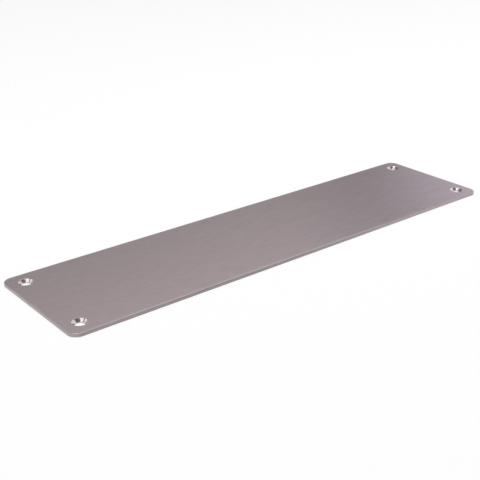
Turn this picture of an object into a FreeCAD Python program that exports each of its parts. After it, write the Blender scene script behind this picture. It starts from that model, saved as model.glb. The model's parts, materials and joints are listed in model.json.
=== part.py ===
import FreeCAD, Part
import math
import os

import Sketcher

# Door finger plate, in millimetres and degrees.
# It is one blank of stainless steel sheet, cut out, rounded at its corners and edges, and drilled and
# countersunk for a screw near each corner. It lies on its back: X runs along its length, Y across its
# width, and Z rises from the back face at zero to the brushed front. The origin is the middle of the back.

DRIVING_SIZES = (
    ("plate_length", "300", "length of the blank"),
    ("plate_width", "75", "width of the blank"),
    ("plate_thickness", "2", "thickness of the sheet"),
    ("corner_radius", "5.5", "rounding of the corners, seen from the front"),
    ("front_arris_radius", "0.5", "round along the edge of the front face"),
    ("back_edge_break", "0.2", "bevel that takes the burr off the edge of the back face"),
    ("hole_inset_from_end", "9.5", "centre of a screw hole to the nearer end"),
    ("hole_inset_from_side", "10", "centre of a screw hole to the nearer side"),
    ("screw_hole_diameter", "5", "clear hole for the shank of a screw"),
    ("countersink_width", "1.5", "width of the conical seat around a hole, seen from the front"),
    ("countersink_angle", "90", "included angle of the conical seat"),
)

# The numbers by which a sketch knows the places on a line or an arc, and its own origin
START, END, CENTRE = range(1, 4)
ORIGIN_POINT = (-1, START)

# The four corners of the plate, anticlockwise from the front
CORNER_SIGNS = ((1, -1), (1, 1), (-1, 1), (-1, -1))
QUARTER_TURN = math.pi / 2


def add_size_sheet(doc):
    """A spreadsheet with one named cell for each driving size, beside its meaning."""
    sheet = doc.addObject("Spreadsheet::Sheet", "Sizes")
    for row, (alias, value, meaning) in enumerate(DRIVING_SIZES, start=1):
        sheet.set(f"A{row}", value)
        sheet.setAlias(f"A{row}", alias)
        sheet.set(f"B{row}", meaning)
    doc.recompute()
    return sheet


def add_plan_sketch(body, name):
    """An empty sketch on the plane of the body's back face."""
    back_plane = next(plane for plane in body.Origin.OriginFeatures if plane.Role == "XY_Plane")
    sketch = body.newObject("Sketcher::SketchObject", name)
    sketch.AttachmentSupport = (back_plane, [""])
    sketch.MapMode = "FlatFace"
    return sketch


def add_driven_size(sketch, name, constraint, expression):
    """A named dimension of the sketch that follows the size sheet."""
    index = sketch.addConstraint(constraint)
    sketch.renameConstraint(index, name)
    sketch.setExpression(f"Constraints.{name}", expression)


def draw_blank_outline(sketch, sheet):
    """A rectangle centred on the origin, with an arc at each corner."""
    radius = sheet.corner_radius
    centre_x = sheet.plate_length / 2 - radius
    centre_y = sheet.plate_width / 2 - radius
    arcs = []
    for turn, (sign_x, sign_y) in enumerate(CORNER_SIGNS):
        centre = FreeCAD.Vector(sign_x * centre_x, sign_y * centre_y, 0)
        circle = Part.Circle(centre, FreeCAD.Vector(0, 0, 1), radius)
        first_angle = (turn - 1) * QUARTER_TURN
        arcs.append(sketch.addGeometry(Part.ArcOfCircle(circle, first_angle, first_angle + QUARTER_TURN)))
    next_arcs = arcs[1:] + arcs[:1]
    sides = []
    for arc, next_arc in zip(arcs, next_arcs):
        line = Part.LineSegment(sketch.Geometry[arc].EndPoint, sketch.Geometry[next_arc].StartPoint)
        sides.append(sketch.addGeometry(line))
    right_end, far_side, left_end, near_side = sides

    for arc, side, next_arc in zip(arcs, sides, next_arcs):
        sketch.addConstraint(Sketcher.Constraint("Tangent", arc, END, side, START))
        sketch.addConstraint(Sketcher.Constraint("Tangent", side, END, next_arc, START))
    for end in (right_end, left_end):
        sketch.addConstraint(Sketcher.Constraint("Vertical", end))
    for side in (far_side, near_side):
        sketch.addConstraint(Sketcher.Constraint("Horizontal", side))
    for arc in arcs[1:]:
        sketch.addConstraint(Sketcher.Constraint("Equal", arcs[0], arc))
    sketch.addConstraint(Sketcher.Constraint("Symmetric", arcs[0], CENTRE, arcs[2], CENTRE, *ORIGIN_POINT))

    length = Sketcher.Constraint("DistanceX", left_end, START, right_end, START, sheet.plate_length)
    add_driven_size(sketch, "length", length, "Sizes.plate_length")
    width = Sketcher.Constraint("DistanceY", near_side, START, far_side, START, sheet.plate_width)
    add_driven_size(sketch, "width", width, "Sizes.plate_width")
    rounding = Sketcher.Constraint("Radius", arcs[0], radius)
    add_driven_size(sketch, "rounding", rounding, "Sizes.corner_radius")


def draw_screw_holes(sketch, sheet):
    """A circle near each corner of the plate, at the corners of a rectangle centred on the origin."""
    pitch_x = sheet.plate_length - 2 * sheet.hole_inset_from_end
    pitch_y = sheet.plate_width - 2 * sheet.hole_inset_from_side
    circles = []
    for sign_x, sign_y in CORNER_SIGNS:
        centre = FreeCAD.Vector(sign_x * pitch_x / 2, sign_y * pitch_y / 2, 0)
        circle = Part.Circle(centre, FreeCAD.Vector(0, 0, 1), sheet.screw_hole_diameter / 2)
        circles.append(sketch.addGeometry(circle))
    near_right, far_right, far_left, near_left = circles

    for hole, opposite in ((near_right, far_left), (far_right, near_left)):
        sketch.addConstraint(Sketcher.Constraint("Symmetric", hole, CENTRE, opposite, CENTRE, *ORIGIN_POINT))
    sketch.addConstraint(Sketcher.Constraint("Horizontal", near_left, CENTRE, near_right, CENTRE))
    sketch.addConstraint(Sketcher.Constraint("Vertical", near_right, CENTRE, far_right, CENTRE))
    for circle in circles[1:]:
        sketch.addConstraint(Sketcher.Constraint("Equal", circles[0], circle))

    along = Sketcher.Constraint("DistanceX", near_left, CENTRE, near_right, CENTRE, pitch_x)
    add_driven_size(sketch, "pitch_along", along, "Sizes.plate_length - 2 * Sizes.hole_inset_from_end")
    across = Sketcher.Constraint("DistanceY", near_right, CENTRE, far_right, CENTRE, pitch_y)
    add_driven_size(sketch, "pitch_across", across, "Sizes.plate_width - 2 * Sizes.hole_inset_from_side")
    bore = Sketcher.Constraint("Diameter", circles[0], sheet.screw_hole_diameter)
    add_driven_size(sketch, "bore", bore, "Sizes.screw_hole_diameter")


def face_nearest(shape, height):
    """The name of the shape's face whose middle lies nearest to a height."""
    distances = [abs(face.CenterOfMass.z - height) for face in shape.Faces]
    return f"Face{distances.index(min(distances)) + 1}"


def build_finger_plate(doc, sheet):
    """The blank, its rounded front edge, its bevelled back edge and its countersunk holes."""
    body = doc.addObject("PartDesign::Body", "FingerPlate")
    body.Label = "finger_plate"

    outline = add_plan_sketch(body, "BlankOutline")
    draw_blank_outline(outline, sheet)
    blank = body.newObject("PartDesign::Pad", "Blank")
    blank.Profile = outline
    blank.setExpression("Length", "Sizes.plate_thickness")
    doc.recompute()

    front_arris = body.newObject("PartDesign::Fillet", "FrontArris")
    front_arris.Base = (blank, [face_nearest(blank.Shape, sheet.plate_thickness)])
    front_arris.setExpression("Radius", "Sizes.front_arris_radius")
    doc.recompute()

    back_bevel = body.newObject("PartDesign::Chamfer", "BackBevel")
    back_bevel.Base = (front_arris, [face_nearest(front_arris.Shape, 0)])
    back_bevel.setExpression("Size", "Sizes.back_edge_break")
    doc.recompute()

    centres = add_plan_sketch(body, "HoleCentres")
    centres.setExpression(".AttachmentOffset.Base.z", "Sizes.plate_thickness")
    draw_screw_holes(centres, sheet)
    doc.recompute()
    holes = body.newObject("PartDesign::Hole", "CountersunkHoles")
    holes.Profile = centres
    holes.ThreadType = "None"
    holes.DepthType = "ThroughAll"
    holes.HoleCutType = "Countersink"
    holes.HoleCutCustomValues = True
    holes.setExpression("Diameter", "Sizes.screw_hole_diameter")
    holes.setExpression("HoleCutDiameter", "Sizes.screw_hole_diameter + 2 * Sizes.countersink_width")
    holes.setExpression("HoleCutCountersinkAngle", "Sizes.countersink_angle")
    doc.recompute()

    if holes.Shape.Volume >= back_bevel.Shape.Volume:
        raise RuntimeError("the screw holes cut nothing out of the plate")
    return body


def check_document(doc, bodies):
    """Stops the build if any feature failed or any solid is empty or broken."""
    for item in doc.Objects:
        if "Invalid" in item.State or "Error" in item.State:
            raise RuntimeError(f"{item.Label} failed: {item.State}")
    for body in bodies:
        if body.Shape.isNull() or not body.Shape.isValid():
            raise RuntimeError(f"{body.Label} is not a valid solid")


document = FreeCAD.newDocument("DoorFingerPlate")
sizes = add_size_sheet(document)
finger_plate = build_finger_plate(document, sizes)
check_document(document, [finger_plate])

os.makedirs("parts", exist_ok=True)
finger_plate.Shape.exportStep(f"parts/{finger_plate.Label}.step")
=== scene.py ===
import json
import math

import bpy
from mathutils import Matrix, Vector


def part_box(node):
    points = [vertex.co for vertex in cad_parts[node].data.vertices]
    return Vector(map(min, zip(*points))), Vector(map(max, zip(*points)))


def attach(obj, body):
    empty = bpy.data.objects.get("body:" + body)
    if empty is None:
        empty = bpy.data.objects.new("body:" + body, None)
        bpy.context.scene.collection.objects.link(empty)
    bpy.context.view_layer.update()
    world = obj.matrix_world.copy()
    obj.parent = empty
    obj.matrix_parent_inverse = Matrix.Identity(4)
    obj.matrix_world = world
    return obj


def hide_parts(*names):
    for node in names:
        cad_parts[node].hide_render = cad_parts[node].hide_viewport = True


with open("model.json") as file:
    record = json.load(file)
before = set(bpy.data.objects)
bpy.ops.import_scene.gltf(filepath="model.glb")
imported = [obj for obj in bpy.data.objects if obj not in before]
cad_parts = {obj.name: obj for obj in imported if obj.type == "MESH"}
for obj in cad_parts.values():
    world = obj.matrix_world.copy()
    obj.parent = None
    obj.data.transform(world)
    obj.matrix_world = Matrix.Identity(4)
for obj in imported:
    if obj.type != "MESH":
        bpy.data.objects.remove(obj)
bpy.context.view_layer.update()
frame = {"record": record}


# Finger plate
# One blank of stainless steel sheet, cut to size, linished round at its corners and edges, and brushed from
# end to end on its front. A hole near each corner is drilled and countersunk for a wood screw, and the plain
# back lies flat on the door.

MM = 0.001

plate_low, plate_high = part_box("finger_plate")
plate_length, plate_width, plate_thickness = plate_high - plate_low
mounts = {mount["name"]: mount for mount in frame["record"]["mounts"]}
hole_pattern = mounts["screw_holes"]["dims"]
hole_radius = hole_pattern["hole_r_mm"] * MM
hole_pitch_along = hole_pattern["spacing_x_mm"] * MM
hole_pitch_across = hole_pattern["spacing_y_mm"] * MM

corner_radius = 5.5 * MM
front_arris = 0.5 * MM
back_break = 0.2 * MM
seat_width = 1.5 * MM
seat_depth = seat_width
seat_lip = 0.12 * MM
bore_break = 0.08 * MM


def add_node(tree, kind, inputs=None, **settings):
    """A node with its settings made, and each input set to a value or linked to a socket."""
    node = tree.nodes.new(kind)
    for name, setting in settings.items():
        setattr(node, name, setting)
    for key, value in (inputs or {}).items():
        if isinstance(value, bpy.types.NodeSocket):
            tree.links.new(value, node.inputs[key])
        else:
            node.inputs[key].default_value = value
    return node


def calc(tree, operation, *values):
    """The result of a Math node on numbers or sockets."""
    return add_node(tree, "ShaderNodeMath", dict(enumerate(values)), operation=operation).outputs[0]


def vector_calc(tree, operation, *values):
    """The result of a Vector Math node on vectors or sockets, a number for a length or a distance."""
    node = add_node(tree, "ShaderNodeVectorMath", dict(enumerate(values)), operation=operation)
    return node.outputs["Value" if operation in ("LENGTH", "DISTANCE") else "Vector"]


def combine(tree, x=0.0, y=0.0, z=0.0):
    """A vector from three numbers or sockets."""
    return add_node(tree, "ShaderNodeCombineXYZ", {"X": x, "Y": y, "Z": z}).outputs[0]


def separate(tree, vector):
    """The three parts of a vector, by name."""
    return add_node(tree, "ShaderNodeSeparateXYZ", {"Vector": vector}).outputs


def level(tree, vector):
    """A vector without its height."""
    return vector_calc(tree, "MULTIPLY", vector, (1, 1, 0))


def fade(tree, value, start, end):
    """A mask that goes smoothly from 0 at the start value to 1 at the end value."""
    return add_node(tree, "ShaderNodeMapRange", {"Value": value, "From Min": start, "From Max": end},
                    interpolation_type="SMOOTHSTEP").outputs[0]


def new_group(name, kind, inputs, outputs):
    """An empty node group with named sockets, the sockets that it is given, and its output node."""
    group = bpy.data.node_groups.new(name, kind)
    for in_out, sockets in (("INPUT", inputs), ("OUTPUT", outputs)):
        for socket_name, socket_type in sockets.items():
            group.interface.new_socket(socket_name, in_out=in_out, socket_type=socket_type)
    return group, group.nodes.new("NodeGroupInput").outputs, group.nodes.new("NodeGroupOutput")


VECTOR, FLOAT, COUNT = "NodeSocketVector", "NodeSocketFloat", "NodeSocketInt"
FINISH, GEOMETRY = "NodeSocketMaterial", "NodeSocketGeometry"

# An abrasive or a cutter leaves fine lines, in bands that are a little longer than a line and several lines
# wide. The vector's X and Z run along the lines and its Y across them.
band_length, band_width = 1.2, 8.0
grain_group, given, result = new_group(
    "tool_lines", "ShaderNodeTree",
    {"Vector": VECTOR, "Line Length": FLOAT, "Line Width": FLOAT}, {"Lines": FLOAT, "Bands": FLOAT})
line_size = combine(grain_group, given["Line Length"], given["Line Width"], given["Line Length"])
line_place = vector_calc(grain_group, "DIVIDE", given["Vector"], line_size)
band_place = vector_calc(grain_group, "DIVIDE", line_place, (band_length, band_width, band_length))
for output, place in (("Lines", line_place), ("Bands", band_place)):
    noise = add_node(grain_group, "ShaderNodeTexNoise", {"Vector": place, "Scale": 1.0, "Detail": 3.0})
    grain_group.links.new(noise.outputs[0], result.inputs[output])

# Sheet is never quite even: slow patches a few centimetres long shift its tone and its gloss.
patch_group, given, result = new_group(
    "sheet_patches", "ShaderNodeTree",
    {"Vector": VECTOR, "Length": FLOAT, "Width": FLOAT}, {"Patches": FLOAT})
patch_size = combine(patch_group, given["Length"], given["Width"], given["Width"])
patch_place = vector_calc(patch_group, "DIVIDE", given["Vector"], patch_size)
noise = add_node(patch_group, "ShaderNodeTexNoise", {"Vector": patch_place, "Scale": 1.0, "Detail": 2.0})
patch_group.links.new(noise.outputs[0], result.inputs["Patches"])

# Painted highlight: the steel's colour is made lighter along the outline of the plate, within a short reach
# of it, for the light that its rounded arris catches.
rim_highlight_group, given, result = new_group(
    "painted_rim_highlight", "ShaderNodeTree",
    {"Vector": VECTOR, "Half Length": FLOAT, "Half Width": FLOAT, "Corner Radius": FLOAT, "Reach": FLOAT},
    {"Painted Highlight": FLOAT})
half_size = combine(rim_highlight_group, given["Half Length"], given["Half Width"])
rounding = combine(rim_highlight_group, given["Corner Radius"], given["Corner Radius"])
corner_centre = vector_calc(rim_highlight_group, "SUBTRACT", half_size, rounding)
from_middle = vector_calc(rim_highlight_group, "ABSOLUTE", level(rim_highlight_group, given["Vector"]))
past_centre = vector_calc(rim_highlight_group, "SUBTRACT", from_middle, corner_centre)
past_corner = vector_calc(rim_highlight_group, "LENGTH", vector_calc(rim_highlight_group, "MAXIMUM", past_centre, (0, 0, 0)))
past = separate(rim_highlight_group, past_centre)
short_of_side = calc(rim_highlight_group, "MINIMUM", calc(rim_highlight_group, "MAXIMUM", past["X"], past["Y"]), 0.0)
reached = calc(rim_highlight_group, "ADD", past_corner, short_of_side)
to_outline = calc(rim_highlight_group, "SUBTRACT", given["Corner Radius"], reached)
rim_highlight_group.links.new(fade(rim_highlight_group, to_outline, given["Reach"], 0.0), result.inputs["Painted Highlight"])


def surface_normal(tree):
    """The way that the surface faces."""
    return add_node(tree, "ShaderNodeNewGeometry").outputs["Normal"]


def round_the_wall(tree):
    """The way that runs along a wall of the plate and stays at one height."""
    return vector_calc(tree, "CROSS_PRODUCT", (0, 0, 1), surface_normal(tree))


def along_the_plate(tree, place):
    """Lines from end to end of the plate."""
    return place, vector_calc(tree, "CROSS_PRODUCT", (0, 1, 0), surface_normal(tree))


def along_the_edge(tree, place):
    """Lines that follow the outline and stay level all the way round."""
    part = separate(tree, place)
    return combine(tree, part["X"], part["Z"], part["Y"]), round_the_wall(tree)


def around_the_hole(tree, place):
    """Rings around the axis of the nearest screw hole."""
    hole_axis = (hole_pitch_along / 2, hole_pitch_across / 2, 0)
    from_axis = vector_calc(tree, "SUBTRACT", vector_calc(tree, "ABSOLUTE", place), hole_axis)
    radius = vector_calc(tree, "LENGTH", level(tree, from_axis))
    part = separate(tree, from_axis)
    down_the_seat = calc(tree, "ADD", radius, part["Z"])
    return combine(tree, part["X"], down_the_seat, part["Y"]), round_the_wall(tree)


def on_long_sides(tree, place):
    """A mask of painted shade on the two long sides, which darkens them like the floor's shadow reflected in
    them and fades out towards the right end.
    """
    part_turned, square_on = 0.75, 1.0
    middle, near_right_end = 0.0, 0.4 * plate_length
    facing_across = calc(tree, "ABSOLUTE", separate(tree, surface_normal(tree))["Y"])
    is_long_side = fade(tree, facing_across, part_turned, square_on)
    painted_shade_fade = fade(tree, separate(tree, place)["X"], near_right_end, middle)
    return calc(tree, "MULTIPLY", is_long_side, painted_shade_fade)


patch_length, patch_width = 45 * MM, 15 * MM
rim_highlight_reach = 1.2 * MM
line_share, band_share, patch_share = 0.35, 0.47, 0.18
# How much the painted rim highlight lightens the colour, and how much the painted shade darkens the long
# sides
rim_highlight_gain, painted_shade_loss = 0.12, 0.5
dullest, brightest = 0.3, 0.7
quarter_turn = 0.25


def steel_finish(name, lay, dull, bright, roughness, line_length, line_width, line_depth, anisotropy,
                 painted_shade_area=None):
    """Bare steel that is worked one way: the lay gives a place among the lines, and the way they run.
    The colours and the roughness go from the dullest of it to the brightest, and the painted shade area is a
    mask of where its colour is darkened by painted shade."""
    material = bpy.data.materials.new(name)
    material.use_nodes = True
    tree = material.node_tree
    shader = tree.nodes["Principled BSDF"]
    place = add_node(tree, "ShaderNodeTexCoord").outputs["Object"]
    grain_place, grain_way = lay(tree, place)
    grain = add_node(tree, "ShaderNodeGroup",
                     {"Vector": grain_place, "Line Length": line_length, "Line Width": line_width},
                     node_tree=grain_group).outputs
    patches = add_node(tree, "ShaderNodeGroup",
                       {"Vector": place, "Length": patch_length, "Width": patch_width},
                       node_tree=patch_group).outputs["Patches"]
    # A painted highlight that lightens the colour near the plate's outline
    rim_highlight = add_node(tree, "ShaderNodeGroup",
                   {"Vector": place, "Half Length": plate_length / 2, "Half Width": plate_width / 2,
                    "Corner Radius": corner_radius, "Reach": rim_highlight_reach},
                   node_tree=rim_highlight_group).outputs["Painted Highlight"]

    worked = calc(tree, "MULTIPLY", grain["Lines"], line_share)
    worked = calc(tree, "MULTIPLY_ADD", grain["Bands"], band_share, worked)
    worked = calc(tree, "MULTIPLY_ADD", patches, patch_share, worked)
    # The painted rim highlight lightens the tone
    tone = calc(tree, "MULTIPLY_ADD", rim_highlight, rim_highlight_gain, worked)
    # Painted shade: the colour is darkened where the painted shade area lies
    if painted_shade_area:
        tone = calc(tree, "MULTIPLY_ADD", painted_shade_area(tree, place), -painted_shade_loss, tone)
    colour = add_node(tree, "ShaderNodeValToRGB", {"Fac": tone})
    dull_end, bright_end = colour.color_ramp.elements
    dull_end.color, bright_end.color = (*dull, 1), (*bright, 1)
    gloss = add_node(tree, "ShaderNodeMapRange",
                     {"Value": worked, "From Min": dullest, "From Max": brightest,
                      "To Min": roughness[0], "To Max": roughness[1]})
    bump = add_node(tree, "ShaderNodeBump", {"Height": grain["Lines"], "Distance": line_depth})

    tree.links.new(colour.outputs["Color"], shader.inputs["Base Color"])
    tree.links.new(gloss.outputs[0], shader.inputs["Roughness"])
    tree.links.new(bump.outputs["Normal"], shader.inputs["Normal"])
    tree.links.new(grain_way, shader.inputs["Tangent"])
    shader.inputs["Metallic"].default_value = 1.0
    shader.inputs["Anisotropic"].default_value = anisotropy
    shader.inputs["Anisotropic Rotation"].default_value = quarter_turn
    return material


front_finish = steel_finish(
    "brushed_front", along_the_plate, dull=(0.23, 0.193, 0.200), bright=(0.47, 0.393, 0.410),
    roughness=(0.40, 0.32), line_length=8 * MM, line_width=0.12 * MM, line_depth=0.0004 * MM,
    anisotropy=0.75)
# The edge's long sides carry painted shade for the floor's shadow reflected in them, fading out towards the
# right end
edge_finish = steel_finish(
    "linished_edge", along_the_edge, dull=(0.285, 0.250, 0.257), bright=(0.445, 0.389, 0.398),
    roughness=(0.38, 0.24), line_length=12 * MM, line_width=0.08 * MM, line_depth=0.0006 * MM,
    anisotropy=0.4, painted_shade_area=on_long_sides)
seat_finish = steel_finish(
    "turned_seat", around_the_hole, dull=(0.44, 0.395, 0.40), bright=(0.62, 0.56, 0.565),
    roughness=(0.22, 0.12), line_length=8 * MM, line_width=0.07 * MM, line_depth=0.0004 * MM,
    anisotropy=0.3)
back_finish = steel_finish(
    "rolled_back", along_the_plate, dull=(0.28, 0.25, 0.25), bright=(0.40, 0.365, 0.365),
    roughness=(0.50, 0.36), line_length=25 * MM, line_width=0.3 * MM, line_depth=0.0006 * MM,
    anisotropy=0.2)

plate_inputs = {
    "Length": (FLOAT, plate_length),
    "Width": (FLOAT, plate_width),
    "Thickness": (FLOAT, plate_thickness),
    "Corner Radius": (FLOAT, corner_radius),
    "Corner Steps": (COUNT, 24),
    "Front Arris": (FLOAT, front_arris),
    "Back Break": (FLOAT, back_break),
    "Pitch Along": (FLOAT, hole_pitch_along),
    "Pitch Across": (FLOAT, hole_pitch_across),
    "Hole Radius": (FLOAT, hole_radius),
    "Hole Steps": (COUNT, 96),
    "Seat Width": (FLOAT, seat_width),
    "Seat Depth": (FLOAT, seat_depth),
    "Seat Lip": (FLOAT, seat_lip),
    "Bore Break": (FLOAT, bore_break),
    "Round Steps": (COUNT, 8),
    "Front": (FINISH, front_finish),
    "Edge": (FINISH, edge_finish),
    "Seat": (FINISH, seat_finish),
    "Back": (FINISH, back_finish),
}
plate_tree, given, result = new_group(
    "countersunk_plate", "GeometryNodeTree",
    {name: kind for name, (kind, value) in plate_inputs.items()}, {"Geometry": GEOMETRY})


def minus(tree, value):
    """A number with its sign turned round."""
    return calc(tree, "MULTIPLY", value, -1.0)


def compare(tree, value, operation, limit):
    """Whether a number lies on one side of a limit."""
    return add_node(tree, "FunctionNodeCompare", {"A": value, "B": limit}, operation=operation).outputs[0]


def fillet(tree, curve, radius, steps):
    """A line with its corners rounded."""
    return add_node(tree, "GeometryNodeFilletCurve", {"Curve": curve, "Radius": radius, "Count": steps},
                    mode="POLY").outputs[0]


def add_section(tree, corners, steps):
    """A section to sweep along a path, through its corners: how far outward, how high, and how rounded.
    A sweep takes the section's Y downwards."""
    line = add_node(tree, "GeometryNodeMeshLine", {"Count": len(corners)}).outputs[0]
    corner = add_node(tree, "GeometryNodeInputIndex").outputs[0]
    places = add_node(tree, "GeometryNodeIndexSwitch", {"Index": corner}, data_type="VECTOR")
    roundings = add_node(tree, "GeometryNodeIndexSwitch", {"Index": corner}, data_type="FLOAT")
    for switch in (places, roundings):
        while len(switch.index_switch_items) < len(corners):
            switch.index_switch_items.new()
    for number, (outward, height, rounding) in enumerate(corners):
        tree.links.new(combine(tree, outward, minus(tree, height)), places.inputs[str(number)])
        if rounding:
            tree.links.new(rounding, roundings.inputs[str(number)])
    line = add_node(tree, "GeometryNodeSetPosition",
                    {"Geometry": line, "Position": places.outputs[0]}).outputs[0]
    section = add_node(tree, "GeometryNodeMeshToCurve", {"Mesh": line}).outputs[0]
    return fillet(tree, section, roundings.outputs[0], steps)


def sweep(tree, path, section):
    """The wall that a section makes on its way round a closed level path."""
    upright = add_node(tree, "GeometryNodeSetCurveNormal", {"Curve": path}, mode="Z_UP").outputs[0]
    return add_node(tree, "GeometryNodeCurveToMesh", {"Curve": upright, "Profile Curve": section}).outputs[0]


def join(tree, *parts):
    """Several pieces of geometry as one."""
    joined = add_node(tree, "GeometryNodeJoinGeometry")
    for part in parts:
        tree.links.new(part, joined.inputs[0])
    return joined.outputs[0]


def close_face(tree, walls, is_side, height):
    """The flat face that fills the walls' rims on one side of the plate, where an edge has a single face."""
    neighbours = add_node(tree, "GeometryNodeInputMeshEdgeNeighbors").outputs[0]
    is_free = compare(tree, neighbours, "LESS_THAN", 2)
    is_rim = add_node(tree, "FunctionNodeBooleanMath", {0: is_free, 1: is_side}, operation="AND").outputs[0]
    rims = add_node(tree, "GeometryNodeMeshToCurve", {"Mesh": walls, "Selection": is_rim}).outputs[0]
    face = add_node(tree, "GeometryNodeFillCurve", {"Curve": rims}).outputs[0]
    return add_node(tree, "GeometryNodeTransform",
                    {"Geometry": face, "Translation": combine(tree, z=height)}).outputs[0]


# The edge: the front's arris, the side, and the break at the back, swept round the outline
top = given["Thickness"]
edge_section = add_section(plate_tree, [
    (minus(plate_tree, given["Front Arris"]), top, None),
    (0.0, top, given["Front Arris"]),
    (0.0, 0.0, given["Back Break"]),
    (minus(plate_tree, given["Back Break"]), 0.0, None),
], given["Round Steps"])
blank = add_node(plate_tree, "GeometryNodeCurvePrimitiveQuadrilateral",
                 {"Width": given["Length"], "Height": given["Width"]}).outputs[0]
outline = fillet(plate_tree, blank, given["Corner Radius"], given["Corner Steps"])
edge_wall = sweep(plate_tree, outline, edge_section)

# A screw hole: the lip of its seat, the seat, and the bore with its ends broken, swept round a circle
seat_reach = calc(plate_tree, "ADD", given["Seat Width"], given["Seat Lip"])
seat_foot = calc(plate_tree, "SUBTRACT", top, given["Seat Depth"])
hole_section = add_section(plate_tree, [
    (seat_reach, top, None),
    (given["Seat Width"], top, given["Seat Lip"]),
    (0.0, seat_foot, given["Bore Break"]),
    (0.0, 0.0, given["Bore Break"]),
    (given["Bore Break"], 0.0, None),
], given["Round Steps"])
bore = add_node(plate_tree, "GeometryNodeCurvePrimitiveCircle",
                {"Resolution": given["Hole Steps"], "Radius": given["Hole Radius"]}).outputs[0]
hole_wall = sweep(plate_tree, bore, hole_section)
hole_wall = add_node(plate_tree, "GeometryNodeFlipFaces", {"Mesh": hole_wall}).outputs[0]
hole_centres = add_node(plate_tree, "GeometryNodeMeshGrid",
                        {"Size X": given["Pitch Along"], "Size Y": given["Pitch Across"],
                         "Vertices X": 2, "Vertices Y": 2}).outputs[0]
hole_walls = add_node(plate_tree, "GeometryNodeInstanceOnPoints",
                      {"Points": hole_centres, "Instance": hole_wall}).outputs[0]
hole_walls = add_node(plate_tree, "GeometryNodeRealizeInstances", {"Geometry": hole_walls}).outputs[0]

# The front and the back close the walls to one solid
walls = join(plate_tree, edge_wall, hole_walls)
place = add_node(plate_tree, "GeometryNodeInputPosition").outputs[0]
height = separate(plate_tree, place)["Z"]
half_way = calc(plate_tree, "MULTIPLY", top, 0.5)
front = close_face(plate_tree, walls, compare(plate_tree, height, "GREATER_THAN", half_way), top)
back = close_face(plate_tree, walls, compare(plate_tree, height, "LESS_THAN", half_way), 0.0)
back = add_node(plate_tree, "GeometryNodeFlipFaces", {"Mesh": back}).outputs[0]
seam_reach = 0.001 * MM
plate = add_node(plate_tree, "GeometryNodeMergeByDistance",
                 {"Geometry": join(plate_tree, walls, front, back), "Distance": seam_reach}).outputs[0]

# Each face takes its finish from the way it faces and from how near it is to a hole
straight_up = 0.999
facing = separate(plate_tree, add_node(plate_tree, "GeometryNodeInputNormal").outputs[0])["Z"]
is_front = compare(plate_tree, facing, "GREATER_THAN", straight_up)
is_back = compare(plate_tree, facing, "LESS_THAN", -straight_up)
is_wall = compare(plate_tree, calc(plate_tree, "ABSOLUTE", facing), "LESS_THAN", straight_up)
pitch = combine(plate_tree, given["Pitch Along"], given["Pitch Across"])
hole_axis = vector_calc(plate_tree, "MULTIPLY", pitch, (0.5, 0.5, 0.0))
from_middle = vector_calc(plate_tree, "ABSOLUTE", level(plate_tree, place))
to_axis = vector_calc(plate_tree, "DISTANCE", from_middle, hole_axis)
seat_radius = calc(plate_tree, "ADD", given["Hole Radius"], seat_reach)
is_seat = compare(plate_tree, to_axis, "LESS_THAN", seat_radius)
plate = add_node(plate_tree, "GeometryNodeSetShadeSmooth",
                 {"Geometry": plate, "Shade Smooth": is_wall}).outputs[0]
plate = add_node(plate_tree, "GeometryNodeRealizeInstances", {"Geometry": plate}).outputs[0]
for finish, where in (("Edge", True), ("Seat", is_seat), ("Front", is_front), ("Back", is_back)):
    plate = add_node(plate_tree, "GeometryNodeSetMaterial",
                     {"Geometry": plate, "Selection": where, "Material": given[finish]}).outputs[0]
plate_tree.links.new(plate, result.inputs["Geometry"])

finger_plate = bpy.data.objects.new("brushed_finger_plate", bpy.data.meshes.new("plate_blank"))
bpy.context.scene.collection.objects.link(finger_plate)
modifier = finger_plate.modifiers.new("countersunk_plate", "NODES")
modifier.node_group = plate_tree
for socket in plate_tree.interface.items_tree:
    if socket.in_out == "INPUT":
        modifier[socket.identifier] = plate_inputs[socket.name][1]
evaluated_plate = finger_plate.evaluated_get(bpy.context.evaluated_depsgraph_get())
plate_mesh = bpy.data.meshes.new_from_object(evaluated_plate)
finger_plate.modifiers.remove(modifier)
# Set Material puts the finishes behind an empty slot
plate_mesh.materials.pop(index=0)
finger_plate.data = plate_mesh
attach(finger_plate, "root")
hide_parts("finger_plate")


# Floor
# A sheet of plain white board that the plate lies on, far wider than the view. It shows white to the camera
# and in the steel, and it keeps the plate's soft shadow.

floor_reach = 12.0
floor_drop = 0.02 * MM
floor_glow = 0.9
matt_white, glowing_white = (0.86, 0.86, 0.86, 1), (1, 1, 1, 1)

floor_mesh = bpy.data.meshes.new("floor")
floor_mesh.from_pydata([(side_x * floor_reach, side_y * floor_reach, -floor_drop)
                        for side_x, side_y in ((-1, -1), (1, -1), (1, 1), (-1, 1))], [], [(0, 1, 2, 3)])
floor = bpy.data.objects.new("floor", floor_mesh)
bpy.context.scene.collection.objects.link(floor)
board = bpy.data.materials.new("white_board")
board.use_nodes = True
board_tree = board.node_tree
board_tree.nodes.remove(board_tree.nodes["Principled BSDF"])
ray = add_node(board_tree, "ShaderNodeLightPath").outputs
is_mirrored = calc(board_tree, "MAXIMUM", ray["Is Glossy Ray"], ray["Is Transmission Ray"])
is_seen = calc(board_tree, "MAXIMUM", ray["Is Camera Ray"], is_mirrored)
matt = add_node(board_tree, "ShaderNodeBsdfDiffuse", {"Color": matt_white}).outputs[0]
glow = add_node(board_tree, "ShaderNodeEmission", {"Color": glowing_white, "Strength": 1.0}).outputs[0]
shown = add_node(board_tree, "ShaderNodeMixShader",
                 {0: calc(board_tree, "MULTIPLY", is_seen, floor_glow), 1: matt, 2: glow}).outputs[0]
board_tree.links.new(shown, board_tree.nodes["Material Output"].inputs["Surface"])
floor_mesh.materials.append(board)


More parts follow.
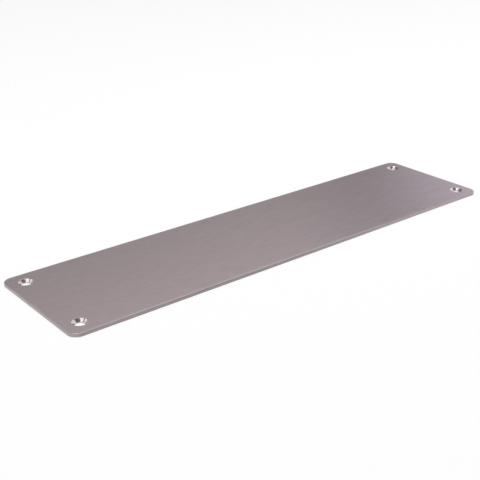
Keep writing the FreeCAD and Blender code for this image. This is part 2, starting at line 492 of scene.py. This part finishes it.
# Studio light
# Two strips hang over the plate and soft boxes stand round it, in a room that is pale near the floor and dim
# above. The steel shows them: the strips along its front, the boxes in its edges and in the screws' seats.
# Two wide fills keep its back views as light as its front one.

plate_middle = (0.0, 0.0, 0.0)
below_strips = (0.29, 0.0, 0.0)
white, warm, cool = (1.0, 1.0, 1.0), (1.0, 0.97, 0.97), (0.88, 0.86, 1.0)

# Where each one is and the point that it faces, its width and height, all in metres, then its colour and its
# brightness, of which 1 is that of the white floor
softboxes = {
    "overhead_strip": ((0.29, 0.15, 0.63), below_strips, 0.72, 0.22, white, 4.3),
    "rear_strip": ((0.29, 0.35, 0.60), below_strips, 0.72, 0.22, white, 1.8),
    "rear_left_box": ((-0.46, 0.59, 0.50), plate_middle, 0.60, 0.42, warm, 1.45),
    "rear_right_box": ((1.20, 0.60, 0.33), plate_middle, 0.54, 0.59, cool, 0.60),
    "right_box": ((0.83, 0.18, 0.31), plate_middle, 0.50, 0.40, cool, 0.88),
    "front_right_box": ((0.76, -0.34, 0.50), plate_middle, 0.60, 0.60, white, 1.15),
    "left_box": ((-0.40, -0.04, 0.66), (-0.30, -0.03, 0.0), 0.45, 0.75, white, 1.6),
    "front_fill": ((-0.25, -1.00, 0.42), plate_middle, 1.70, 0.65, white, 0.85),
    "left_fill": ((-1.15, 0.15, 0.42), plate_middle, 1.10, 0.65, white, 0.55),
}
for name, (centre, faces, width, height, colour, brightness) in softboxes.items():
    lamp_data = bpy.data.lights.new(name, "AREA")
    lamp_data.shape = "RECTANGLE"
    lamp_data.size, lamp_data.size_y = width, height
    lamp_data.energy = math.pi * width * height * brightness
    lamp_data.color = colour
    lamp = bpy.data.objects.new(name, lamp_data)
    lamp.location = centre
    lamp.rotation_euler = (Vector(centre) - Vector(faces)).to_track_quat("Z", "Y").to_euler()
    lamp.visible_camera = False
    bpy.context.scene.collection.objects.link(lamp)

room_dim, room_pale = 0.22, 1.0
pale_below, dim_above = math.radians(3.4), math.radians(21)

world = bpy.data.worlds.new("pale_room")
world.use_nodes = True
bpy.context.scene.world = world
room = world.node_tree
upward = separate(room, add_node(room, "ShaderNodeTexCoord").outputs["Generated"])["Z"]
near_floor = fade(room, upward, math.sin(dim_above), math.sin(pale_below))
room_light = calc(room, "MULTIPLY_ADD", near_floor, room_pale - room_dim, room_dim)
room.nodes["Background"].inputs["Color"].default_value = (1, 1, 1, 1)
room.links.new(room_light, room.nodes["Background"].inputs["Strength"])


# Camera
# It looks down along the plate from in front of its left end, from about half a metre away, so that the far
# end looks smaller than the near one.

camera_azimuth, camera_elevation = math.radians(-39.22), math.radians(23.87)
camera_distance = 532.3 * MM
camera_target = Vector((-17.3 * MM, 2.4 * MM, 0))

camera_data = bpy.data.cameras.new("camera")
camera_data.sensor_width = 36
camera_data.lens = 69.0
camera_data.clip_start, camera_data.clip_end = 0.01, 100
camera = bpy.data.objects.new("camera", camera_data)
camera.rotation_euler = (math.pi / 2 - camera_elevation, 0, camera_azimuth)
camera.location = camera_target + camera.rotation_euler.to_matrix() @ Vector((0, 0, camera_distance))
bpy.context.scene.collection.objects.link(camera)
bpy.context.scene.camera = camera
bpy.context.scene.view_settings.view_transform = "Standard"
